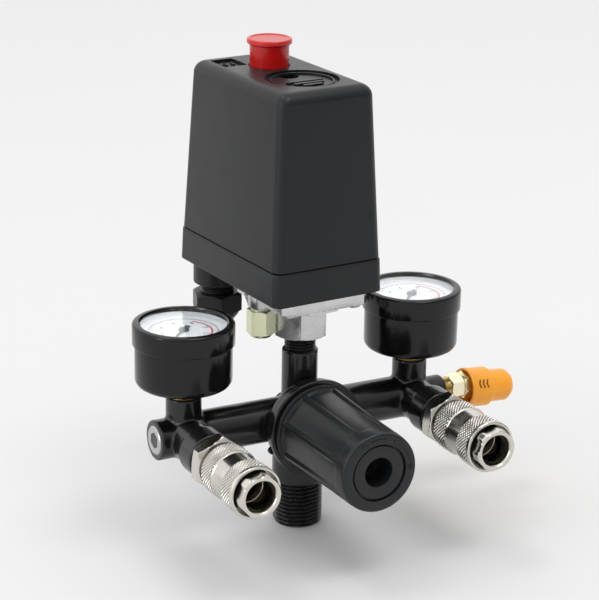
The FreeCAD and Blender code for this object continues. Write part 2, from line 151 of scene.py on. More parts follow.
def rounded(corners, closed=False, steps=5):
    """Outline through corners (x, y, radius): each corner becomes an arc tangent to the sides beside it."""
    corners = [tuple(c) + (0.0,) * (3 - len(c)) for c in corners]
    points = []
    count = len(corners)
    for k, (x, y, radius) in enumerate(corners):
        here = np.array([x, y], float)
        if radius == 0.0 or (not closed and k in (0, count - 1)):
            points.append(here)
            continue
        back = np.array(corners[k - 1][:2], float) - here
        ahead = np.array(corners[(k + 1) % count][:2], float) - here
        room = 0.49 * min(np.hypot(*back), np.hypot(*ahead))
        back, ahead = back / np.hypot(*back), ahead / np.hypot(*ahead)
        half = math.acos(float(np.clip(back @ ahead, -1.0, 1.0))) / 2.0
        if half > 1.55:
            points.append(here)
            continue
        reach = min(radius / math.tan(half), room)
        size = reach * math.tan(half)
        middle = here + (back + ahead) / np.hypot(*(back + ahead)) * size / math.sin(half)
        start, end = here + back * reach - middle, here + ahead * reach - middle
        a0 = math.atan2(start[1], start[0])
        turn = (math.atan2(end[1], end[0]) - a0 + math.pi) % TAU - math.pi
        angles = a0 + turn * np.linspace(0.0, 1.0, steps)
        points.extend(middle + size * np.stack([np.cos(angles), np.sin(angles)], 1))
    return np.array(points)


def lathe(name, corners, axis, centre, ring=False, columns=96):
    """Profile (radius, height, rounding) turned once round the axis; ring=True closes it on itself."""
    profile = rounded(corners, ring)
    theta = turn_angles(columns)
    radius, height = profile[:, :1], profile[:, 1:]
    points = place(radius * np.cos(theta), radius * np.sin(theta), height + 0.0 * theta, axis, centre)
    return grid_mesh(name, points, ring)


def tube(name, inner, outer, start, end, axis, centre, rims=(0.0, 0.0), columns=72):
    """Plain ring, or a solid disc with no inner radius; rims are the roundings of its two outer edges."""
    corners = [(inner, start), (outer, start, rims[0]), (outer, end, rims[1]), (inner, end)]
    return lathe(name, corners, axis, centre, inner > 0.0, columns)


def shaped(name, radii, heights, theta, axis, centre, ring=False, sharp=32.0):
    """Surface with a row of radii, or one radius for the whole row, at each height."""
    radii = np.stack([np.broadcast_to(row, theta.shape) for row in radii])
    points = place(radii * np.cos(theta), radii * np.sin(theta), np.asarray(heights)[:, None] + 0.0 * radii,
                   axis, centre)
    return grid_mesh(name, points, ring, sharp)


def hexagon(theta, flat, turn):
    """Radius of a hexagon of half width `flat` at each angle, with a corner at `turn`."""
    return flat / np.cos((theta - turn) % (TAU / 6.0) - TAU / 12.0)


def joined(name, meshes):
    """One mesh holding all the given ones, which are then removed."""
    work = bmesh.new()
    for mesh in meshes:
        work.from_mesh(mesh)
    bmesh.ops.remove_doubles(work, verts=work.verts, dist=1e-7)
    whole = bpy.data.meshes.new(name)
    work.to_mesh(whole)
    work.free()
    for mesh in meshes:
        bpy.data.meshes.remove(mesh)
    return whole


def carved(mesh, cutters, sharp=32.0):
    """The mesh with the cutters' volumes taken out."""
    body = new_object("blank", mesh)
    tools = [new_object("tool", cutter) for cutter in cutters]
    for tool in tools:
        step = body.modifiers.new("cut", "BOOLEAN")
        step.operation, step.solver, step.object = "DIFFERENCE", "EXACT", tool
    result = settled(body)
    for tool in tools:
        bpy.data.objects.remove(tool)
    result.shade_smooth()
    result.set_sharp_from_angle(angle=math.radians(sharp))
    return result


def turned(mesh):
    """The mesh turned about Z as far as the switch is turned on its nipple."""
    mesh.transform(Matrix.Rotation(SWITCH_YAW, 4, "Z"))
    return mesh


def piece(name, mesh, finish, body, slot, *nodes):
    """A finished piece: mesh, finish, the body it rides on, its slot (not used) and the CAD nodes it stands
    for.
    """
    thing = new_object(name, mesh)
    mesh.materials.clear()
    mesh.materials.append(finish)
    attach(thing, body)
    if nodes:
        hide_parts(*nodes)
    return thing


def fixed(name, mesh, finish, slot, *nodes):
    """A piece that rides on the manifold, as everything does that doesn't move."""
    return piece(name, mesh, finish, "manifold", slot, *nodes)


# ---- finishes

def finish(name, colour, rough, metal=0.0, spread=0.05, tone=0.06, grain=0.0, grain_size=0.4, wave=0.0,
           coat=0.0, scale=1.0, shine=0.5):
    """Base colour and roughness that drift with soft noise, fine grain and slow waviness as bump.

    grain and wave are bump heights in mm, and grain_size is in mm.
    """
    material = bpy.data.materials.new(name)
    material.use_nodes = True
    nodes, links = material.node_tree.nodes, material.node_tree.links

    def fill(node, **values):
        """Set a node's sockets; an underscore stands for a space in a socket's name."""
        for socket, value in values.items():
            node.inputs[socket.replace("_", " ")].default_value = value
        return node

    shader = fill(nodes["Principled BSDF"], Metallic=metal, Coat_Weight=coat, Coat_Roughness=0.05,
                  Specular_IOR_Level=shine)
    place_on = nodes.new("ShaderNodeTexCoord").outputs["Object"]
    drift = fill(nodes.new("ShaderNodeTexNoise"), Scale=90.0 * scale, Detail=6.0, Roughness=0.6)
    links.new(place_on, drift.inputs["Vector"])

    low, high = 0.3, 0.7
    ramp = nodes.new("ShaderNodeValToRGB")
    for stop, position, factor in zip(ramp.color_ramp.elements, (low, high), (1.0 - tone, 1.0 + tone)):
        stop.position = position
        stop.color = [min(1.0, c * factor) for c in colour] + [1.0]
    links.new(drift.outputs["Fac"], ramp.inputs["Fac"])
    links.new(ramp.outputs["Color"], shader.inputs["Base Color"])

    gloss = fill(nodes.new("ShaderNodeMapRange"), From_Min=low, From_Max=high,
                 To_Min=max(0.02, rough - spread), To_Max=rough + spread)
    links.new(drift.outputs["Fac"], gloss.inputs["Value"])
    links.new(gloss.outputs["Result"], shader.inputs["Roughness"])

    normal = None
    for height, size, detail in ((wave, 9.0, 1.0), (grain, grain_size, 3.0)):
        if height == 0.0:
            continue
        noise = fill(nodes.new("ShaderNodeTexNoise"), Scale=1.0 / (size * MM), Detail=detail)
        links.new(place_on, noise.inputs["Vector"])
        bump = fill(nodes.new("ShaderNodeBump"), Strength=1.0, Distance=height * MM)
        links.new(noise.outputs["Fac"], bump.inputs["Height"])
        if normal is not None:
            links.new(normal.outputs["Normal"], bump.inputs["Normal"])
        normal = bump
    if normal is not None:
        links.new(normal.outputs["Normal"], shader.inputs["Normal"])
    return material


def glass_finish():
    """Clear gauge glass, so thin that it bends nothing: it lets light through and mirrors at its top skin."""
    material = finish("gauge glass", (0.95, 0.97, 0.99), 0.03, spread=0.01, tone=0.01, coat=1.0)
    shader = material.node_tree.nodes["Principled BSDF"]
    shader.inputs["Transmission Weight"].default_value = 1.0
    shader.inputs["IOR"].default_value = 1.01
    shader.inputs["Coat IOR"].default_value = 1.7
    return material


GLOSS_BLACK = finish("gloss black paint", (0.006, 0.006, 0.0065), 0.2, spread=0.04, wave=0.02, grain=0.002)
GAUGE_BLACK = finish("gauge black paint", (0.004, 0.004, 0.0045), 0.15, shine=0.34, spread=0.04, grain=0.002)
THREAD_BLACK = finish("black on threads", (0.008, 0.008, 0.0085), 0.32, spread=0.08, grain=0.01)
COVER_PLASTIC = finish("satin black cover", (0.0105, 0.0115, 0.013), 0.36, shine=0.3, spread=0.04, tone=0.05,
                       grain=0.012, grain_size=0.35, wave=0.03)
BASE_PLASTIC = finish("satin black base", (0.0105, 0.0115, 0.013), 0.38, shine=0.3, spread=0.04, tone=0.05,
                      grain=0.012, grain_size=0.35, wave=0.02)
KNOB_PLASTIC = finish("charcoal knob", (0.0095, 0.0105, 0.012), 0.34, shine=0.38, grain=0.008, grain_size=0.3)
GLAND_PLASTIC = finish("gland black", (0.006, 0.006, 0.0065), 0.38, shine=0.36, spread=0.06, grain=0.008)
RED_PLASTIC = finish("button red", (0.52, 0.004, 0.004), 0.24, shine=0.5, spread=0.04, tone=0.04, grain=0.003)
ORANGE_PLASTIC = finish("cap orange", (0.98, 0.38, 0.02), 0.34, spread=0.05, tone=0.05, grain=0.006)
CAP_PRINT = finish("brown print", (0.2, 0.05, 0.01), 0.5)
NICKEL = finish("nickel plate", (0.64, 0.615, 0.565), 0.2, metal=1.0, spread=0.06, tone=0.05, grain=0.003)
KNURL_NICKEL = finish("worn nickel knurl", (0.62, 0.595, 0.55), 0.2, metal=1.0, spread=0.08, tone=0.12,
                      grain=0.006)
ZINC = finish("zinc plate", (0.5, 0.51, 0.5), 0.3, metal=1.0, spread=0.07, tone=0.08, grain=0.004)
CAST_ALUMINIUM = finish("die cast aluminium", (0.6, 0.6, 0.61), 0.27, metal=1.0, spread=0.1, tone=0.14,
                        grain=0.05, grain_size=0.9, wave=0.08)
PALE_BRASS = finish("pale brass", (0.93, 0.86, 0.62), 0.26, metal=1.0, spread=0.08, tone=0.08, grain=0.006)
BRASS = finish("turned brass", (0.72, 0.53, 0.24), 0.3, metal=1.0, spread=0.08, tone=0.08, grain=0.005)
GREEN_BRASS = finish("yellow zinc", (0.66, 0.68, 0.47), 0.24, metal=1.0, spread=0.08, tone=0.08, grain=0.004)
# Very dark brass, about a tenth as bright as turned brass, for the valve_brass slot.
DARK_BRASS = finish("dark brass", (0.09, 0.078, 0.05), 0.42, metal=1.0, spread=0.08, tone=0.1, grain=0.004)
# Painted shade: dark metal for a ring under the knurl, which shows in the groove bottoms as their shade.
KNURL_SHADE = finish("painted shade in the knurl", (0.05, 0.048, 0.043), 0.6, metal=0.6, spread=0.1, tone=0.3, grain=0.01)
# Painted shade: near-black steel for the adjusting screws and coupler balls, which sit in shade inside the
# object.
SHADE_DARK_STEEL = finish("steel darkened as painted shade", (0.02, 0.02, 0.02), 0.5, metal=1.0, tone=0.1)
STEEL = finish("steel", (0.5, 0.5, 0.5), 0.34, metal=1.0, spread=0.08, tone=0.1, grain=0.004)
DIAL_WHITE = finish("dial white", (0.86, 0.87, 0.88), 0.5, spread=0.05, tone=0.015)
DIAL_BLACK = finish("dial print", (0.02, 0.02, 0.022), 0.6)
DIAL_RED = finish("dial red print", (0.5, 0.03, 0.03), 0.6)
NEEDLE_BLACK = finish("needle black", (0.015, 0.015, 0.016), 0.5)
RUBBER = finish("black rubber", (0.02, 0.02, 0.02), 0.7, grain=0.01)
GLASS = glass_finish()

SLOT_FINISH = {
    "manifold_paint": GLOSS_BLACK, "plug_steel": ZINC, "bonnet_paint": GLOSS_BLACK,
    "knob_plastic": KNOB_PLASTIC, "screw_steel": ZINC, "seat_brass": BRASS, "spring_steel": STEEL,
    "diaphragm_rubber": RUBBER,
    "poppet_brass": BRASS, "relief_brass": PALE_BRASS, "relief_plastic": ORANGE_PLASTIC, "stem_brass": BRASS,
    "base_plastic": BASE_PLASTIC, "cover_plastic": COVER_PLASTIC, "button_plastic": RED_PLASTIC,
    "plate_aluminium": CAST_ALUMINIUM, "piston_plastic": DIAL_WHITE, "rocker_steel": STEEL,
    "terminal_plastic": GLAND_PLASTIC, "terminal_brass": BRASS, "gland_plastic": GLAND_PLASTIC,
    "unloader_brass": ZINC, "unloader_zinc": GREEN_BRASS, "gauge_paint": GAUGE_BLACK,
    "bezel_paint": GAUGE_BLACK, "gauge_glass": GLASS, "dial_paint": DIAL_WHITE, "needle_paint": NEEDLE_BLACK,
    "gauge_brass": BRASS, "coupler_nickel": NICKEL, "sleeve_nickel": KNURL_NICKEL, "ball_steel": ZINC,
    "valve_brass": DARK_BRASS,
}


def finish_frame_nodes():
    """Every CAD node that stays in sight inside the object gets its slot's finish, except the adjusting
    screws and coupler balls, which get near-black steel as painted shade.
    """
    for part in frame["record"]["subparts"]:
        thing = frame["nodes"][part["node"]]
        thing.data.materials.clear()
        # Adjusting screws and coupler balls are painted near-black steel for the shade they sit in, in place
        # of their slot's finish.
        shaded = part["node"].startswith(("adjusting_screw", "coupler_balls"))
        thing.data.materials.append(SHADE_DARK_STEEL if shaded else SLOT_FINISH[part["material_slot"]])


# ---- threads, nuts, knurls

def threaded(name, major, pitch, depth, start, end, axis, centre, chamfer=0.9, bore=0.0, columns=96):
    """Threaded stub with a chamfered end at `start` and an optional bore right through.

    The radius is a flattened wave that climbs one pitch a turn and fades out just before `end`.
    """
    theta = turn_angles(columns)
    rows = np.linspace(start, end, int((end - start) / pitch * 10) + 2)
    height = rows[:, None] + 0.0 * theta
    phase = (height / pitch - theta / TAU) % 1.0
    wave = np.clip((np.abs(phase - 0.5) * 2.0 - 0.5) * 1.35 + 0.5, 0.0, 1.0)
    fade = np.clip((end - height) / 0.6, 0.0, 1.0)
    radii = np.minimum(major - depth * wave * fade, major - chamfer + (height - start))
    return shaped(name, [bore, *radii, bore], [start, *rows, end], theta, axis, centre, bore > 0.0, 50.0)


def nut(name, flat, start, end, axis, centre, turn=0.0, bore=0.0, chamfers=(True, True), columns=96):
    """Hexagon bar whose corners are cut by a 30 degree cone at the chamfered ends, with an optional bore."""
    theta = turn + turn_angles(columns)
    hexagonal = hexagon(theta, flat, turn)
    face, corner, edge = flat * 0.96, flat / math.cos(math.pi / 6.0), 0.12
    reach = (corner - face) * math.tan(math.radians(30.0))

    def rim(chamfered):
        """(row of radii, distance from the end) from an end inward."""
        if not chamfered:
            return [(hexagonal - edge, 0.0), (hexagonal, edge)]
        return [(np.minimum(hexagonal, face + t * (corner - face)), t * reach)
                for t in np.linspace(0.0, 1.0, 6)]

    first, last = rim(chamfers[0]), rim(chamfers[1])[::-1]
    rows = [bore, *(row for row, _ in first + last), bore]
    heights = [start, *(start + h for _, h in first), *(end - h for _, h in last), end]
    return shaped(name, rows, heights, theta, axis, centre, bore > 0.0, 25.0)


def rectangle(a, b):
    """Corners of a rectangle of half sides a and b, counter-clockwise."""
    return np.array([(-a, -b), (a, -b), (a, b), (-a, b)])


def arc_band(outer, inner, t):
    """Outline between two radii over the angles t."""
    rim, core = (np.stack([r * np.cos(a), r * np.sin(a)], 1) for r, a in ((outer, t), (inner, t[::-1])))
    return np.concatenate([rim, core])


def slotted_head(name, radius, low, high, axis, centre):
    """Pan head with a cross recess; `high` is its top, `low` its seat, along the axis."""
    thick = high - low
    head = lathe(name, [(0.0, low), (radius, low, 0.1), (radius, low + 0.75 * thick, 0.5 * abs(thick)),
                        (0.0, high)], axis, centre, columns=48)
    arm, width = radius * 0.62, radius * 0.13
    levels = [(high - 0.45 * thick, 0.0), (high + 0.5 * thick, 0.0)]
    cutters = [prism("slot", rectangle(a, b), levels, axis, centre) for a, b in ((arm, width), (width, arm))]
    return carved(head, cutters)


def prism(name, outline, levels, axis="z", centre=(0.0, 0.0), sharp=32.0):
    """Counter-clockwise outline carried along the axis through levels (height, inset), with flat caps."""
    ahead = np.roll(outline, -1, 0) - outline
    back = outline - np.roll(outline, 1, 0)
    ahead /= np.maximum(np.hypot(ahead[:, 0], ahead[:, 1]), 1e-9)[:, None]
    back /= np.maximum(np.hypot(back[:, 0], back[:, 1]), 1e-9)[:, None]
    inward = np.stack([-(ahead + back)[:, 1], (ahead + back)[:, 0]], 1)
    inward /= np.maximum((np.hypot(inward[:, 0], inward[:, 1]) ** 2) / 2.0, 0.5)[:, None]
    rings = [outline + inward * inset for _, inset in levels]
    points = np.stack([place(r[:, 0], r[:, 1], np.full(len(r), h), axis, centre)
                       for r, (h, _) in zip(rings, levels)])
    rows, columns = points.shape[:2]
    faces = grid_faces(rows, columns, False, True)
    faces.append(list(range(columns)))
    faces.append(list(range((rows - 1) * columns, rows * columns)))
    return mesh_from(name, points.reshape(-1, 3), faces, sharp)


def rounded_rectangle(x0, x1, y0, y1, radius, steps=9):
    """Outline of a rectangle with round corners, each of that many points."""
    corners = [(x0, y0, radius), (x1, y0, radius), (x1, y1, radius), (x0, y1, radius)]
    return rounded(corners, True, steps)


# ---- manifold casting

def smooth_union(a, b, blend):
    """Polynomial smooth minimum of two distances."""
    h = np.clip(0.5 + 0.5 * (b - a) / blend, 0.0, 1.0)
    return b * (1.0 - h) + a * h - blend * h * (1.0 - h)


def drum(points, axis, centre, radius, start, end, edge):
    """Distance to a round drum with rounded rims."""
    k = "xyz".index(axis)
    across = [points[:, j] for j in range(3) if j != k]
    rho = np.hypot(across[0] - centre[0], across[1] - centre[1])
    past_end = np.abs(points[:, k] - (start + end) / 2.0) - abs(end - start) / 2.0
    out = np.stack([rho - radius + edge, past_end + edge])
    return np.minimum(out.max(0), 0.0) + np.hypot(*np.maximum(out, 0.0)) - edge


def casting_drums():
    """(axis, centre, radius, start, end, rim rounding, blend into the rest) of each drum of the casting."""
    bar = (0.0, BAR_Z)
    left_end = span("manifold_body")[0][0]
    right_end = span("manifold_body")[1][0]
    drums = [
        ("x", bar, 9.1, -58.0, 58.0, 0.4, 1.0),
        ("x", bar, 8.4, left_end, -50.0, 0.5, 0.8),
        ("x", bar, 6.4, 50.0, right_end, 0.9, 1.2),
        ("z", (0.0, 0.0), 7.56, BAR_Z, 77.9, 0.6, 1.6),
        ("z", (0.0, 0.0), 11.0, 19.2, BAR_Z, 0.6, 1.4),
        ("y", (0.0, REG_Z), 13.8, -11.0, -2.6, 1.6, 2.4),
        ("y", (0.0, REG_Z), 7.6, -4.0, 12.0, 0.8, 2.0),
    ]
    for side in SIDES:
        x = SIDE_X[side]
        drums.append(("z", (x, 0.0), 7.4, BAR_Z, 65.6, 0.5, 1.3))
        drums.append(("y", (x, BAR_Z), 8.8, -18.0, 0.0, 0.6, 1.3))
        drums.append(("y", (x, BAR_Z), 10.2, -27.6, -16.6, 0.7, 1.6))
    return drums


def casting_distance(points, drums):
    """Distance to all the drums, blended one after the other."""
    total = np.full(len(points), 1e3)
    for axis, centre, radius, start, end, edge, blend in drums:
        total = smooth_union(total, drum(points, axis, centre, radius, start, end, edge), blend)
    return total


def manifold_casting():
    """Smooth union of drums: a voxel skin over them, whose points are then moved onto the blended surface.

    Each point slides along the distance's slope until the distance is zero, so fillets come out smooth.
    """
    drums = casting_drums()
    blanks = [tube("blank", 0.0, radius, start, end, axis, centre, columns=64)
              for axis, centre, radius, start, end, _, _ in drums]
    rough = new_object("rough casting", joined("rough casting", blanks))
    skin = rough.modifiers.new("skin", "REMESH")
    skin.mode = "VOXEL"
    skin.voxel_size = 0.72 * MM
    mesh = settled(rough)
    points = np.empty(len(mesh.vertices) * 3)
    mesh.vertices.foreach_get("co", points)
    points = points.reshape(-1, 3) / MM
    small = 0.02
    for _ in range(7):
        here = casting_distance(points, drums)
        slope = np.stack([casting_distance(points + small * np.eye(3)[k], drums) - here for k in range(3)], 1)
        slope /= small
        slope /= np.maximum((slope ** 2).sum(1), 0.2)[:, None]
        points -= np.clip(here[:, None] * slope, -0.6, 0.6)
    mesh.vertices.foreach_set("co", (points * MM).ravel())
    mesh.update()
    mesh.shade_smooth()
    mesh.name = "manifold casting"
    return mesh


def build_manifold():
    """The casting, its tank thread, the nipple under the switch and the end plug with its hexagon socket."""
    fixed("manifold_casting", manifold_casting(), GLOSS_BLACK, "manifold_paint", "manifold_body")
    tank = threaded("tank thread", 10.48, 1.814, 1.16, 0.0, 19.6, "z", (0.0, 0.0), 1.0, 4.0, 128)
    fixed("tank_thread", tank, THREAD_BLACK, "manifold_paint")
    nipple = threaded("switch nipple", 6.58, 1.337, 0.85, 76.8, 92.0, "z", (0.0, 0.0), 0.2)
    fixed("switch_nipple", nipple, THREAD_BLACK, "manifold_paint")
    low = span("end_plug")[0][0]
    theta = turn_angles(72)
    key = hexagon(theta, 3.1, math.radians(30.0))
    radii = [0.0, key * 0.2, key, key, 4.3, 5.6, 6.15, 6.15, 0.0]
    heights = [low + depth for depth in (3.4, 3.2, 2.8, 0.2, 0.0, 0.0, 0.5, 6.0, 6.0)]
    plug = shaped("end plug", radii, heights, theta, "x", (0.0, BAR_Z), False, 25.0)
    fixed("end_plug", plug, ZINC, "plug_steel", "end_plug")


# ---- pressure regulator

def knob_shell():
    """Turned knob: a tapering barrel with eight ribs and flat panels between them, and a grooved face.

    The barrel's radius falls in a straight line to the front; between ribs it drops onto a chord.
    """
    front, back = span("regulator_knob")[0][1], span("regulator_knob")[1][1]
    theta = turn_angles(8 * 30)
    panel_start, panel_end = front + 5.4, back - 2.6
    body_rows = np.concatenate([
        np.linspace(front + 2.5, panel_start - 0.2, 3), np.linspace(panel_start, panel_start + 7.4, 20),
        np.linspace(panel_start + 8.0, panel_end - 2.0, 24), np.linspace(panel_end - 1.6, panel_end + 0.4, 9),
        [back - 2.2, back - 1.9],
    ])
    rib_angle, rib_half = math.radians(26.0), math.radians(2.6)
    off_rib = np.abs((theta - rib_angle + TAU / 16.0) % (TAU / 8.0) - TAU / 16.0)
    on_panel = soft((off_rib - rib_half) / math.radians(2.2))
    off_middle = np.abs((theta - rib_angle) % (TAU / 8.0) - TAU / 16.0)

    def barrel(height):
        """Radius of the tapering barrel."""
        return 16.86 + (18.75 - 16.86) * (height - front) / (back - front)

    height = body_rows[:, None]
    edge = math.radians(22.5) - rib_half
    flat = np.cos(edge) / np.cos(np.minimum(off_middle, edge))
    panel_drop = 0.75 + barrel(height) * (1.0 - flat) * 0.45
    along = np.clip((height - panel_start) / 1.5, 0.0, 1.0) * soft((panel_end - height) / 1.0)
    along = along * (0.12 + 0.88 * soft((height - panel_start) / 34.0))
    ridge = 0.35 * (1.0 - on_panel) * soft((height - panel_start - 2.0) / 5.0)
    ridge = ridge * soft((back - 1.9 - height) / 0.6)
    body = barrel(height) - panel_drop * on_panel * along + ridge
    face = rounded([(6.2, front + 11.6), (6.2, front + 0.6, 0.4), (11.2, front + 0.6, 0.1),
                    (11.4, front + 1.6), (11.95, front + 1.6), (12.1, front, 0.2), (16.75, front, 1.3),
                    (barrel(front + 2.2), front + 2.2)])[:-1]
    rear = rounded([(barrel(back - 1.8), back - 1.8), (19.6, back - 1.6, 0.3), (19.6, back, 0.4),
                    (14.6, back), (14.6, front + 6.6), (9.0, front + 6.6), (9.0, front + 26.6),
                    (4.05, front + 26.6), (4.05, front + 11.6)])
    radii = [*face[:, 0], *body, *rear[:, 0]]
    heights = np.concatenate([face[:, 1], body_rows, rear[:, 1]])
    return shaped("pressure knob", radii, heights, theta, "y", (0.0, REG_Z), True, 26.0)


def knob_marks():
    """Raised plus and minus on the knob's face, each with a short curved arrow beside it."""
    front = span("regulator_knob")[0][1]
    marks = []
    long, thin = 1.3, 0.28
    for angle, a, b in ((2.0, long, thin), (2.0, thin, long), (118.0, long, thin)):
        t = math.radians(angle)
        middle = (14.3 * math.cos(t), REG_Z + 14.3 * math.sin(t))
        levels = [(front + 0.4, 0.0), (front - 0.35, 0.0), (front - 0.45, 0.08)]
        marks.append(prism("mark", rectangle(a, b), levels, "y", middle))
    for start, sweep in ((20.0, 44.0), (78.0, 28.0)):
        t = np.radians(np.linspace(start, start + sweep, 16))
        marks.append(prism("arrow", arc_band(14.5, 14.0, t), [(front + 0.4, 0.0), (front - 0.4, 0.0)],
                           "y", (0.0, REG_Z)))
    return joined("knob marks", marks)


def build_regulator():
    """Bonnet, flange with its small ear, and the knob with its face marks."""
    low, high, _ = span("regulator_bonnet")
    back = high[1]
    bonnet = lathe("regulator bonnet", [
        (11.0, back), (21.0, back, 0.5), (21.0, back - 2.6, 0.5), (13.2, back - 2.6, 0.6),
        (13.2, low[1], 0.6), (4.1, low[1]), (4.1, low[1] + 3.0), (11.0, low[1] + 3.0)],
        "y", (0.0, REG_Z), True, 128)
    fixed("regulator_bonnet", bonnet, GLOSS_BLACK, "bonnet_paint", "regulator_bonnet")
    flange = lathe("regulator flange", [
        (9.0, back + 0.02), (19.6, back + 0.02, 0.2), (20.0, back + 0.5, 0.3), (20.0, back + 4.6, 0.9),
        (13.0, back + 5.6, 1.0), (9.0, back + 5.6)], "y", (0.0, REG_Z), True, 128)
    ear_angle = math.radians(206.0)
    ear_place = (20.2 * math.cos(ear_angle), REG_Z + 20.2 * math.sin(ear_angle))
    ear = tube("ear", 0.6, 1.5, back + 2.2, back + 4.2, "y", ear_place, (0.3, 0.3), 32)
    fixed("regulator_flange", joined("regulator flange", [flange, ear]), GLOSS_BLACK, "manifold_paint")
    piece("pressure_knob", knob_shell(), KNOB_PLASTIC, "pressure_knob", "knob_plastic", "regulator_knob")
    piece("pressure_knob_marks", knob_marks(), KNOB_PLASTIC, "pressure_knob", "knob_plastic")


# ---- gauges

def dial_print(x, height):
    """Tick marks and coloured arcs of a pressure scale that sweeps 270 degrees clockwise."""
    def arc(name, inner, outer, start, end, count):
        """Printed arc between two shares of the sweep."""
        outline = arc_band(outer, inner, DIAL_ZERO - DIAL_SWEEP * np.linspace(start, end, count))
        return prism(name, outline[::-1], [(height - 0.05, 0.0), (height + 0.06, 0.0)], "z", (x, 0.0))

    ticks = 48
    dark = [arc("scale line", 14.1, 14.35, 0.0, 1.0, 90)]
    for k in range(ticks + 1):
        inner, half = (12.4, 0.0011) if k % 4 == 0 else (13.2, 0.0006)
        dark.append(arc("tick", inner, 14.2, k / ticks - half, k / ticks + half, 2))
    return joined("dial print", dark), arc("dial red print", 11.2, 12.0, 0.66, 1.0, 40)


def dial_numbers(x, height):
    """Scale numbers as flat raised text."""
    meshes = []
    for k in range(0, 13, 2):
        text = bpy.data.curves.new("number", "FONT")
        text.body = str(k)
        text.size = 3.0 * MM
        text.align_x, text.align_y = "CENTER", "CENTER"
        text.extrude = 0.05 * MM
        mesh = settled(new_object("number", text))
        bpy.data.curves.remove(text)
        t = DIAL_ZERO - DIAL_SWEEP * k / 12.0
        mesh.transform(Matrix.Translation(Vector((x + 9.6 * math.cos(t), 9.6 * math.sin(t), height)) * MM))
        meshes.append(mesh)
    return joined("dial numbers", meshes)


def needle_mesh(x, low, tip):
    """Tapered pointer with a tail and a domed hub, on its spindle; it points at the scale's zero."""
    ahead = np.array([math.cos(DIAL_ZERO), math.sin(DIAL_ZERO)])
    side = np.array([-ahead[1], ahead[0]])
    right = ((-5.0, 1.1), (-1.8, 0.75), (13.4, 0.16))
    outline = np.array([along * ahead - half * side for along, half in right]
                       + [along * ahead + half * side for along, half in right[::-1]])
    levels = [(tip - 1.2, 0.04), (tip - 1.15, 0.0), (tip - 0.9, 0.0), (tip - 0.85, 0.04)]
    blade = prism("blade", outline, levels, "z", (x, 0.0))
    hub = lathe("hub", [(0.0, tip - 1.3), (2.1, tip - 1.3, 0.1), (2.1, tip - 0.5, 0.4), (0.6, tip, 0.2),
                        (0.0, tip)], "z", (x, 0.0), columns=48)
    spindle = tube("spindle", 0.0, 0.6, low, tip - 1.0, "z", (x, 0.0), columns=24)
    return joined("needle", [blade, hub, spindle])


def build_gauge(side):
    """One gauge: case, bezel, lens, dial with its white rim and print, needle and stem hexagon."""
    x = SIDE_X[side]
    centre = (x, 0.0)
    bottom = span("gauge_case_" + side)[0][2]
    low, high, _ = span("gauge_bezel_" + side)
    ledge, top = low[2], high[2]
    dial_top = span("gauge_dial_" + side)[1][2]
    lens_low, lens_high = (corner[2] for corner in span("gauge_lens_" + side)[:2])
    case = lathe("gauge case", [
        (0.0, bottom), (20.0, bottom, 3.2), (20.0, ledge - 0.15, 0.15), (19.75, ledge),
        (19.75, lens_low), (18.6, lens_low), (18.6, dial_top - 0.8), (16.0, dial_top - 0.8),
        (16.0, bottom + 1.3), (0.0, bottom + 1.3)], "z", centre, columns=128)
    fixed("gauge_case_" + side, case, GAUGE_BLACK, "gauge_paint", "gauge_case_" + side)
    bezel = lathe("gauge bezel", [
        (19.8, ledge, 0.1), (21.0, ledge, 0.45), (21.0, top - 0.2, 1.1), (18.4, top, 0.5),
        (17.7, lens_high + 0.1, 0.1), (17.6, lens_high + 0.02), (19.8, lens_high + 0.02)],
        "z", centre, True, 160)
    fixed("gauge_bezel_" + side, bezel, GAUGE_BLACK, "bezel_paint", "gauge_bezel_" + side)
    lens = tube("gauge lens", 0.0, 19.6, lens_low + 0.02, lens_high - 0.02, "z", centre, (0.1, 0.1), 96)
    pane = fixed("gauge_lens_" + side, lens, GLASS, "gauge_glass", "gauge_lens_" + side)
    pane.visible_shadow = False
    dial = tube("gauge dial", 1.6, 18.4, dial_top - 0.78, dial_top, "z", centre, (0.0, 0.1), 96)
    fixed("gauge_dial_" + side, dial, DIAL_WHITE, "dial_paint", "gauge_dial_" + side)
    rim = lathe("dial rim", [(18.1, dial_top + 0.02), (18.55, dial_top + 0.02), (18.55, lens_low - 0.1, 0.1),
                             (18.3, lens_low - 0.1, 0.1)], "z", centre, True, 96)
    fixed("dial_rim_" + side, rim, DIAL_WHITE, "dial_paint")
    dark, red = dial_print(x, dial_top)
    fixed("dial_scale_" + side, dark, DIAL_BLACK, "needle_paint")
    fixed("dial_limit_" + side, red, DIAL_RED, "needle_paint")
    fixed("dial_numbers_" + side, dial_numbers(x, dial_top), DIAL_BLACK, "needle_paint")
    needle = span("gauge_needle_" + side)
    piece("gauge_needle_" + side, needle_mesh(x, needle[0][2], needle[1][2]), NEEDLE_BLACK, "needle_" + side,
          "needle_paint", "gauge_needle_" + side)
    boss = span("gauge_stem_" + side)[0][2] + 10.7
    hexed = nut("gauge hex", 5.9, boss, bottom, "z", centre, math.radians(12.0), 0.0, (True, False), 72)
    fixed("gauge_stem_hex_" + side, hexed, BRASS, "gauge_brass")


# ---- quick couplers

def knurl(theta, height, radius, depth, count, pitch):
    """Diamond knurl: two crossing sets of spiral grooves cut into a band of this radius."""
    first = 1.0 - np.abs((theta * count / TAU + height / pitch) % 1.0 - 0.5) * 2.0
    second = 1.0 - np.abs((theta * count / TAU - height / pitch) % 1.0 - 0.5) * 2.0
    return radius - depth * (1.0 - np.minimum(1.0, 1.25 * np.minimum(first, second)))


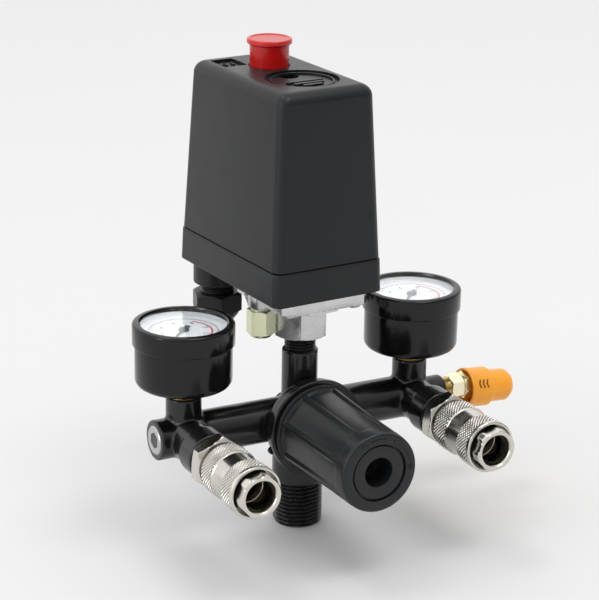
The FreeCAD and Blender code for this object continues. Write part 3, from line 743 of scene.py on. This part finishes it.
def coupler_sleeve(x, front, back):
    """Sliding sleeve: two knurled bands round a smooth waist, a plain front lip, and its stepped inside."""
    theta = turn_angles(10 * KNURL_TEETH)
    lip, waist_front, waist_back = front + 2.2, front + 9.6, front + 18.8
    outside = [
        rounded([(9.9, front), (10.95, front, 0.5), (10.95, lip - 0.2, 0.25), (10.55, lip - 0.1)], steps=4),
        rounded([(10.5, waist_front), (10.1, waist_front + 0.6, 0.5), (10.1, waist_back - 0.6, 0.5),
                 (10.5, waist_back)], steps=5),
        rounded([(10.5, back - 0.5), (10.0, back), (9.8, back)], steps=4),
    ]
    inside = [(9.8, front + 14.0), (8.28, front + 14.0), (8.28, front + 8.0), (9.9, front + 8.0)]
    rows, heights = list(outside[0][:, 0]), list(outside[0][:, 1])
    bands = ((lip, waist_front - 0.15), (waist_back + 0.15, back - 0.6))
    for (start, end), plain in zip(bands, outside[1:]):
        band_rows = np.linspace(start, end, 44)
        h = band_rows[:, None]
        rim = np.clip(np.minimum(h - start, end - h) / 0.3, 0.0, 1.0)
        grooves = knurl(theta, h, 10.98, KNURL_DEPTH, KNURL_TEETH, KNURL_PITCH)
        rows += [*(grooves - 0.25 * (1.0 - rim)), *plain[:, 0]]
        heights += [*band_rows, *plain[:, 1]]
    rows += [radius for radius, _ in inside]
    heights += [height for _, height in inside]
    return shaped("coupler sleeve", rows, heights, theta, "y", (x, BAR_Z), True, 60.0)


def coupler_nose(x, front):
    """Nose with a hexagonal front end: the turned tube is cut down to the hexagon near its mouth."""
    turn = math.radians(12.0)
    theta = turn + turn_angles(144)
    flats = np.minimum(hexagon(theta, 8.35, turn), 9.0)
    rows = [6.3, 6.3, 6.5, 6.95, 7.8, np.minimum(flats, 8.3), np.minimum(flats, 8.75), flats, flats,
            9.0, 9.0, 8.2, 8.2, 6.1, 6.1]
    depths = [11.7, 1.4, 0.7, 0.15, 0.0, 0.05, 0.45, 1.0, 11.0, 11.6, 12.4, 12.6, 35.2, 35.2, 11.7]
    heights = [front + depth for depth in depths]
    return shaped("coupler nose", rows, heights, theta, "y", (x, BAR_Z), True, 25.0)


def build_coupler(side):
    """One quick coupler: nose, hexagon, threaded tail, spring collar, and the sleeve with a dark ring under
    its knurl as painted shade in the grooves.
    """
    x = SIDE_X[side]
    centre = (x, BAR_Z)
    front = span("coupler_body_" + side)[0][1]
    low, high, _ = span("coupler_sleeve_" + side)
    fixed("coupler_nose_" + side, coupler_nose(x, front), NICKEL, "coupler_nickel",
          "coupler_body_" + side)
    hexed = nut("coupler hex", 10.35, front + 35.15, front + 41.6, "y", centre, math.radians(25.0), 4.2)
    fixed("coupler_hex_" + side, hexed, NICKEL, "coupler_nickel")
    tail = threaded("coupler tail", 7.4, 1.337, 0.8, front + 41.5, front + 47.0, "y", centre, 0.1, 4.2, 72)
    fixed("coupler_tail_" + side, tail, THREAD_BLACK, "coupler_nickel")
    collar = tube("spring collar", 8.1, 9.4, front + 30.8, front + 32.1, "y", centre, (0.2, 0.2))
    fixed("coupler_collar_" + side, collar, NICKEL, "coupler_nickel")
    piece("coupler_sleeve_" + side, coupler_sleeve(x, low[1], high[1]), KNURL_NICKEL, "sleeve_" + side,
          "sleeve_nickel", "coupler_sleeve_" + side)
    # Painted shade: a dark ring just under the knurl's teeth, seen through the grooves as their shade.
    groove_shade = [tube("groove_shade", 10.1, 10.52, start, end, "y", centre, columns=96)
             for start, end in ((low[1] + 2.5, low[1] + 9.2), (low[1] + 19.2, high[1] - 0.9))]
    piece("knurl_shade_" + side, joined("knurl groove shade", groove_shade), KNURL_SHADE, "sleeve_" + side, "sleeve_nickel")


# ---- safety valve

def pull_arrows(sag, mouth):
    """Three chevrons on the cap, each a pair of thin bands that lean away from each other."""
    chevrons = []
    for k in range(3):
        for lean in (-1.0, 1.0):
            spread = np.linspace(0.0, 0.22, 6)
            t = math.radians(152.0) + lean * spread
            near = mouth + 3.2 + 1.9 * k + 3.2 * spread
            bands = np.stack([near, near + 0.75])
            radius = np.full((2, 1), 8.66) + 0.0 * t
            points = place(radius * np.cos(t), radius * np.sin(t), bands, "x", sag)
            inner = place((radius - 0.3) * np.cos(t), (radius - 0.3) * np.sin(t), bands, "x", sag)
            shell = np.concatenate([points, inner[::-1]]).reshape(-1, 3)
            ends = [[0, 6, 12, 18], [5, 11, 17, 23]]
            chevrons.append(mesh_from("chevron", shell, grid_faces(4, 6, True, False) + ends))
    return joined("pull arrows", chevrons)


def build_relief():
    """Safety valve: thread, two hexagons with a neck between, spigot, and the drooping cap and its arrows."""
    centre = (0.0, BAR_Z)
    start = span("manifold_body")[1][0]
    ring = threaded("valve thread", 4.7, 1.0, 0.5, start - 0.4, start + 3.4, "x", centre, 0.1, 2.0, 72)
    fixed("valve_thread", ring, BRASS, "relief_brass", "relief_body")
    first = nut("valve hex", 5.25, start + 3.4, start + 9.7, "x", centre, math.radians(25.0), 3.3)
    fixed("valve_hex_inner", first, PALE_BRASS, "relief_brass")
    neck = tube("valve neck", 3.3, 4.6, start + 9.6, start + 10.6, "x", centre)
    fixed("valve_neck", neck, PALE_BRASS, "relief_brass")
    second = nut("valve hex", 5.25, start + 10.5, start + 16.4, "x", centre, math.radians(10.0), 3.3)
    fixed("valve_hex_outer", second, PALE_BRASS, "relief_brass")
    spigot = tube("valve spigot", 1.6, 4.0, start + 16.3, start + 19.4, "x", centre, (0.0, 0.4))
    fixed("valve_spigot", spigot, PALE_BRASS, "relief_brass")
    sag, mouth = (0.0, BAR_Z - CAP_DROP), CAP_MOUTH
    cap = lathe("pull cap", [
        (0.0, mouth + 21.6), (6.0, mouth + 21.6), (6.0, mouth + 14.6), (2.9, mouth + 14.6),
        (2.9, mouth + 10.6), (7.8, mouth + 10.6), (7.8, mouth + 0.2, 0.2), (8.7, mouth, 0.35),
        (8.8, mouth + 1.4, 0.4), (8.55, mouth + 2.0, 0.4), (8.6, mouth + 10.8, 1.0),
        (7.15, mouth + 12.8, 1.0), (7.0, mouth + 20.6, 1.8), (5.2, mouth + 23.0, 1.0), (0.0, mouth + 23.0)],
        "x", sag, False, 96)
    pivot = Vector((82.0, 0.0, BAR_Z - CAP_DROP)) * MM
    droop = Matrix.Translation(pivot) @ Matrix.Rotation(CAP_TILT, 4, "Y") @ Matrix.Translation(-pivot)
    cap.transform(droop)
    piece("pull_cap", cap, ORANGE_PLASTIC, "relief_pull", "relief_plastic", "relief_cap")
    arrows = pull_arrows(sag, mouth)
    arrows.transform(droop)
    piece("pull_arrows", arrows, CAP_PRINT, "relief_pull", "relief_plastic")


# ---- switch

def cover_shell():
    """Tall cover: a rounded rectangle that narrows upward, with a rounded crown, thin walls and recesses."""
    crown, corner = 4.8, 4.4
    low = np.array([-BASE_X + 0.2, BASE_X - 0.2, BASE_Y0 + 0.2, BASE_Y1 - 0.2])
    high = np.array([-BASE_X + 3.6, BASE_X - 3.6, BASE_Y0 + 3.6, BASE_Y1 - 3.0])
    rings, shrink = [], np.array([1.0, -1.0, 1.0, -1.0])

    def ring(share, inset, height, radius):
        """Outline at this share of the way up the draft."""
        sides = low + (high - low) * share + shrink * inset
        outline = rounded_rectangle(*sides, max(radius, 0.4), 9)
        rings.append(np.column_stack([outline, np.full(len(outline), height)]))

    rise = COVER_TOP - SEAM_Z
    ring(0.0, 0.35, SEAM_Z + 0.25, corner)
    ring(0.0, 0.0, SEAM_Z + 0.7, corner)
    for share in np.linspace(0.05, 1.0 - crown / rise, 14):
        ring(share, 0.0, SEAM_Z + rise * share, corner)
    for t in np.radians(np.linspace(8.0, 90.0, 12)):
        share = 1.0 - crown * (1.0 - math.sin(t)) / rise
        curl = 1.0 - math.cos(t)
        ring(share, crown * curl, COVER_TOP - crown * (1.0 - math.sin(t)), corner - crown * 0.72 * curl)
    middle = np.array([0.0, (high[2] + high[3]) / 2.0, COVER_TOP])
    last = rings[-1]
    for share in (0.9, 0.6, 0.3, 0.0):
        rings.append(middle + (last - middle) * share)
    holder = new_object("cover blank", grid_mesh("cover", np.stack(rings), False, 40.0))
    wall = holder.modifiers.new("wall", "SOLIDIFY")
    wall.thickness = 2.2 * MM
    wall.offset = -1.0
    shell = settled(holder)
    past = COVER_TOP + 1.0
    cutters = [
        tube("recess", 0.0, 15.2, COVER_TOP - RECESS_DEPTH, past, "z", RECESS_AT, columns=128),
        tube("screw hole", 0.0, 4.1, COVER_TOP - 5.0, past, "z", SCREW_AT, columns=64),
        tube("knob hole", 0.0, 8.7, COVER_TOP - 5.0, past, "z", KNOB_AT, columns=96),
        prism("side recess", rounded_rectangle(-16.6, -6.2, 34.8, 48.2, 0.8, 5),
              [(COVER_TOP - SIDE_RECESS_DEPTH, 0.0), (past, 0.0)]),
    ]
    return carved(shell, cutters, 40.0)


def cover_relief_marks():
    """Plain raised bars and rings in the cover's recesses, with the generic 0 and 1 of a switch."""
    floor, side_floor = COVER_TOP - RECESS_DEPTH, COVER_TOP - SIDE_RECESS_DEPTH
    x = RECESS_AT[0]
    marks = [lathe("ring", [(12.5, floor - 0.1), (13.2, floor - 0.1), (13.2, floor + 0.8, 0.1),
                            (12.5, floor + 0.8, 0.1)], "z", RECESS_AT, True, 96)]
    for y, half in ((1.6, 8.6), (-1.8, 7.0), (-5.0, 4.6)):
        bar = rounded_rectangle(x - half, x + half, y - 0.8, y + 0.8, 0.7, 5)
        marks.append(prism("bar", bar, [(floor - 0.1, 0.0), (floor + 0.8, 0.0), (floor + 0.9, 0.1)]))
    low, high = side_floor - 0.1, side_floor + 0.8
    marks.append(tube("zero", 1.1, 1.7, low, high, "z", (-13.4, 41.6), columns=32))
    marks.append(prism("one", rounded_rectangle(-9.8, -9.2, 39.8, 43.2, 0.2, 3), [(low, 0.0), (high, 0.0)]))
    return joined("cover marks", marks)


def base_shell():
    """Base box with slight draft, small rounded edges, an open pocket inside and a flat underside."""
    corner, arc_points = 3.6, 9
    rows = []

    def ring(grow, height, radius):
        """Outline grown outward by so much."""
        outline = rounded_rectangle(-BASE_X - grow, BASE_X + grow, BASE_Y0 - grow, BASE_Y1 + grow, radius,
                                    arc_points)
        rows.append(np.column_stack([outline, np.full(len(outline), height)]))

    middle = np.array([0.0, (BASE_Y0 + BASE_Y1) / 2.0, 0.0])

    def cap(height):
        """All the outline's points gathered in the middle."""
        rows.append(np.tile(middle + [0.0, 0.0, height], (4 * arc_points, 1)))

    cap(BASE_BOTTOM)
    for t in np.radians(np.linspace(0.0, 90.0, 5)):
        ring(0.3 - 0.6 * (1.0 - math.sin(t)), BASE_BOTTOM + 0.6 * (1.0 - math.cos(t)), corner)
    for share in np.linspace(0.1, 0.9, 5):
        ring(0.3 - 0.4 * share, BASE_BOTTOM + (SEAM_Z - BASE_BOTTOM) * share, corner)
    for t in np.radians(np.linspace(0.0, 90.0, 4)):
        ring(-0.1 - 0.35 * (1.0 - math.cos(t)), SEAM_Z - 0.35 * (1.0 - math.sin(t)), corner)
    ring(-2.4, SEAM_Z, 1.5)
    ring(-2.4, BASE_BOTTOM + 3.0, 1.5)
    cap(BASE_BOTTOM + 3.0)
    return grid_mesh("base", np.stack(rows), False, 40.0)


def plate_outline():
    """Square plate with cut corners and a round notch in its left side, counter-clockwise."""
    cut = 3.6
    x, y0, y1 = 20.5, -22.0, 21.0
    corners = [(-x + cut, y0, 0.6), (x - cut, y0, 0.6), (x, y0 + cut, 0.6), (x, y1 - cut, 0.6),
               (x - cut, y1, 0.6), (-x + cut, y1, 0.6), (-x, y1 - cut, 0.6)]
    radius, notch_x, notch_y = 8.5, -19.5, UNLOADER[1]
    lean = math.acos((-x - notch_x) / radius)
    sweep = np.linspace(lean, -lean, 15)
    notch = [(notch_x + radius * math.cos(t), notch_y + radius * math.sin(t), 0.0) for t in sweep]
    return rounded(corners + notch + [(-x, y0 + cut, 0.6)], True, 4)


def build_flange():
    """Die-cast plate with its thin lower step, hexagon port with a chamfered foot, and the plate screws."""
    outline = plate_outline()
    levels = [(PLATE_BOTTOM, 0.5), (PLATE_BOTTOM + 0.15, 0.15), (PLATE_BOTTOM + 0.5, 0.0),
              (BASE_BOTTOM - 0.1, 0.0), (BASE_BOTTOM, 0.1)]
    plate = prism("plate", outline, levels, sharp=40.0)
    step = prism("step", rounded_rectangle(-9.5, 5.0, -21.6, -9.0, 1.2, 5),
                 [(PLATE_BOTTOM - 0.9, 0.25), (PLATE_BOTTOM - 0.7, 0.0), (PLATE_BOTTOM + 0.2, 0.0)])
    port = nut("port", 10.48, PORT_BOTTOM, PLATE_BOTTOM + 0.4, "z", (0.0, 0.0), 0.0, 6.6, (True, False), 144)
    root = lathe("port root", [(9.0, PLATE_BOTTOM - 1.6), (12.6, PLATE_BOTTOM + 0.1, 0.6),
                               (9.0, PLATE_BOTTOM + 0.1)], "z", (0.0, 0.0), True, 96)
    whole = turned(joined("flange plate", [plate, step, port, root]))
    fixed("flange_plate", whole, CAST_ALUMINIUM, "plate_aluminium", "flange_plate")
    heads = [slotted_head("plate screw", 3.3, PLATE_BOTTOM + 0.1, PLATE_BOTTOM - 2.2, "z", (x, y))
             for x in (-15.0, 15.0) for y in (-16.5, 15.5)]
    fixed("flange_screws", turned(joined("plate screws", heads)), ZINC, "screw_steel",
          "flange_screws")


def build_glands():
    """Under each cable opening: a boss of the base, a threaded gland body and its compression nut."""
    for side, x in zip(SIDES, (-GLAND_X, GLAND_X)):
        c = (x, GLAND_Y)
        boss = tube("gland boss", 6.0, 10.3, 95.4, BASE_BOTTOM + 0.5, "z", c, (0.6, 0.0), 96)
        fixed("gland_boss_" + side, turned(boss), BASE_PLASTIC, "base_plastic")
        body = threaded("gland body", 7.3, 1.5, 0.7, 82.0, 95.6, "z", c, 0.2, 4.6, 96)
        fixed("gland_body_" + side, turned(body), GLAND_PLASTIC, "gland_plastic",
              "gland_bodies")
        hexed = nut("gland nut", 9.7, 82.6, 91.4, "z", c, math.radians(10.0), 7.0)
        dome = lathe("gland dome", [(4.6, 79.0), (7.4, 79.0, 0.8), (9.3, 81.6, 1.2), (9.3, 83.2),
                                    (4.6, 83.2)], "z", c, True, 96)
        fixed("gland_nut_" + side, turned(joined("gland nut", [hexed, dome])), GLAND_PLASTIC,
              "gland_plastic", "gland_nuts")


def build_unloader():
    """Unloader valve under the switch: its turned body and its compression nut."""
    c = UNLOADER
    body = lathe("unloader body", [
        (1.4, 87.0), (4.3, 87.0), (4.3, 98.5, 0.3), (5.6, 98.6, 0.3), (5.6, BASE_BOTTOM, 0.2),
        (1.4, BASE_BOTTOM)], "z", c, True, 64)
    fixed("unloader_body", turned(body), ZINC, "unloader_brass", "unloader_body")
    hexed = nut("unloader nut", 5.25, 86.5, 97.3, "z", c, math.radians(20.0), 4.2)
    foot = lathe("unloader foot", [(2.0, 85.5), (4.4, 85.5, 0.4), (5.0, 86.9, 0.3), (2.0, 86.9)],
                 "z", c, True, 64)
    fixed("unloader_nut", turned(joined("unloader nut", [hexed, foot])), GREEN_BRASS,
          "unloader_zinc", "unloader_nut")


def build_switch():
    """Cover, cover screw in its tube, base and the red button on its stem."""
    fixed("switch_cover", turned(cover_shell()), COVER_PLASTIC, "cover_plastic", "switch_cover")
    fixed("cover_marks", turned(cover_relief_marks()), COVER_PLASTIC, "cover_plastic")
    sheath = tube("screw tube", 4.12, 6.2, 168.0, COVER_TOP - 1.6, "z", SCREW_AT, columns=64)
    fixed("cover_screw_tube", turned(sheath), COVER_PLASTIC, "cover_plastic")
    screw_top = span("cover_screw")[1][2]
    head = slotted_head("cover screw", 3.6, screw_top - 3.0, screw_top, "z", SCREW_AT)
    fixed("cover_screw", turned(head), ZINC, "screw_steel", "cover_screw")
    fixed("switch_base", turned(base_shell()), BASE_PLASTIC, "base_plastic", "switch_base")
    top = span("switch_knob")[1][2]
    button = lathe("switch button", [
        (0.0, COVER_TOP - 50.0), (3.0, COVER_TOP - 50.0), (3.0, COVER_TOP - 20.0), (8.2, COVER_TOP - 20.0),
        (8.2, top - 2.3, 0.5), (9.38, top - 2.1, 0.4), (9.38, top, 0.9), (8.0, top, 0.4),
        (7.4, top - 0.35, 0.4), (0.0, top - 0.3)], "z", KNOB_AT, columns=96)
    piece("switch_button", turned(button), RED_PLASTIC, "switch_button", "button_plastic", "switch_knob")


# ---- stage

def build_stage():
    """Pale floor, broad soft lights and the camera."""
    floor = bpy.data.meshes.new("floor")
    floor.from_pydata([(x, y, 0.0) for x, y in rectangle(9.0, 9.0)], [], [(0, 1, 2, 3)])
    floor.materials.append(finish("pale floor", (0.7, 0.7, 0.7), 0.75, shine=0.1, tone=0.004, scale=0.05))
    ground = new_object("floor", floor)

    world = bpy.data.worlds.new("studio")
    world.use_nodes = True
    nodes, links = world.node_tree.nodes, world.node_tree.links
    around, toward = nodes.new("ShaderNodeTexCoord"), nodes.new("ShaderNodeVectorMath")
    toward.operation = "DOT_PRODUCT"
    toward.inputs[1].default_value = (-0.36, 0.56, 0.75)
    fall = nodes.new("ShaderNodeMapRange")
    fall.inputs["From Min"].default_value, fall.inputs["From Max"].default_value = -0.75, 0.55
    fall.inputs["To Min"].default_value, fall.inputs["To Max"].default_value = 0.12, 1.18
    links.new(around.outputs["Generated"], toward.inputs[0])
    links.new(toward.outputs["Value"], fall.inputs["Value"])
    links.new(fall.outputs["Result"], nodes["Background"].inputs["Color"])
    bpy.context.scene.world = world

    def lamp(name, kind, where, energy, width=0.0, height=0.0):
        """A light aimed at the object's middle; an area light is a rectangle of this width and height."""
        light = bpy.data.lights.new(name, kind)
        light.energy = energy
        if kind == "AREA":
            light.shape, light.size, light.size_y = "RECTANGLE", width, height
        holder = new_object(name, light)
        holder.location = where
        aim = Vector((0.0, 0.0, 0.1)) - Vector(where)
        holder.rotation_euler = aim.to_track_quat("-Z", "Y").to_euler()
        return light

    lamp("window", "SUN", (-0.45, 0.6, 2.1), 0.3).angle = math.radians(14.0)
    lamp("left softbox", "AREA", (-1.7, -0.3, 0.5), 4.6, 0.35, 1.2)
    lamp("overhead softbox", "AREA", (0.3, -0.75, 2.0), 9.0, 0.9, 0.6)

    azimuth, elevation, roll = (math.radians(a) for a in (28.24, 18.84, 0.98))
    distance, focal_mm = 0.93274, 135.0714
    aim = Vector((-0.00145, 0.0, 0.09904))
    forward = Vector((math.sin(azimuth) * math.cos(elevation), math.cos(azimuth) * math.cos(elevation),
                      -math.sin(elevation)))
    level = Vector((math.cos(azimuth), -math.sin(azimuth), 0.0))
    upright = level.cross(forward)
    right = math.cos(roll) * level + math.sin(roll) * upright
    up = -math.sin(roll) * level + math.cos(roll) * upright
    lens = bpy.data.cameras.new("camera")
    lens.sensor_width = 36.0
    lens.lens = focal_mm
    lens.shift_x = 0.003
    lens.clip_start, lens.clip_end = 0.05, 50.0
    camera = new_object("camera", lens)
    camera.matrix_world = Matrix((
        (right.x, up.x, -forward.x, aim.x - forward.x * distance),
        (right.y, up.y, -forward.y, aim.y - forward.y * distance),
        (right.z, up.z, -forward.z, aim.z - forward.z * distance),
        (0.0, 0.0, 0.0, 1.0)))
    bpy.context.scene.camera = camera
    bpy.context.scene.view_settings.view_transform = "Standard"


finish_frame_nodes()
build_manifold()
build_regulator()
for side in SIDES:
    build_gauge(side)
    build_coupler(side)
build_relief()
build_flange()
build_glands()
build_unloader()
build_switch()
build_stage()
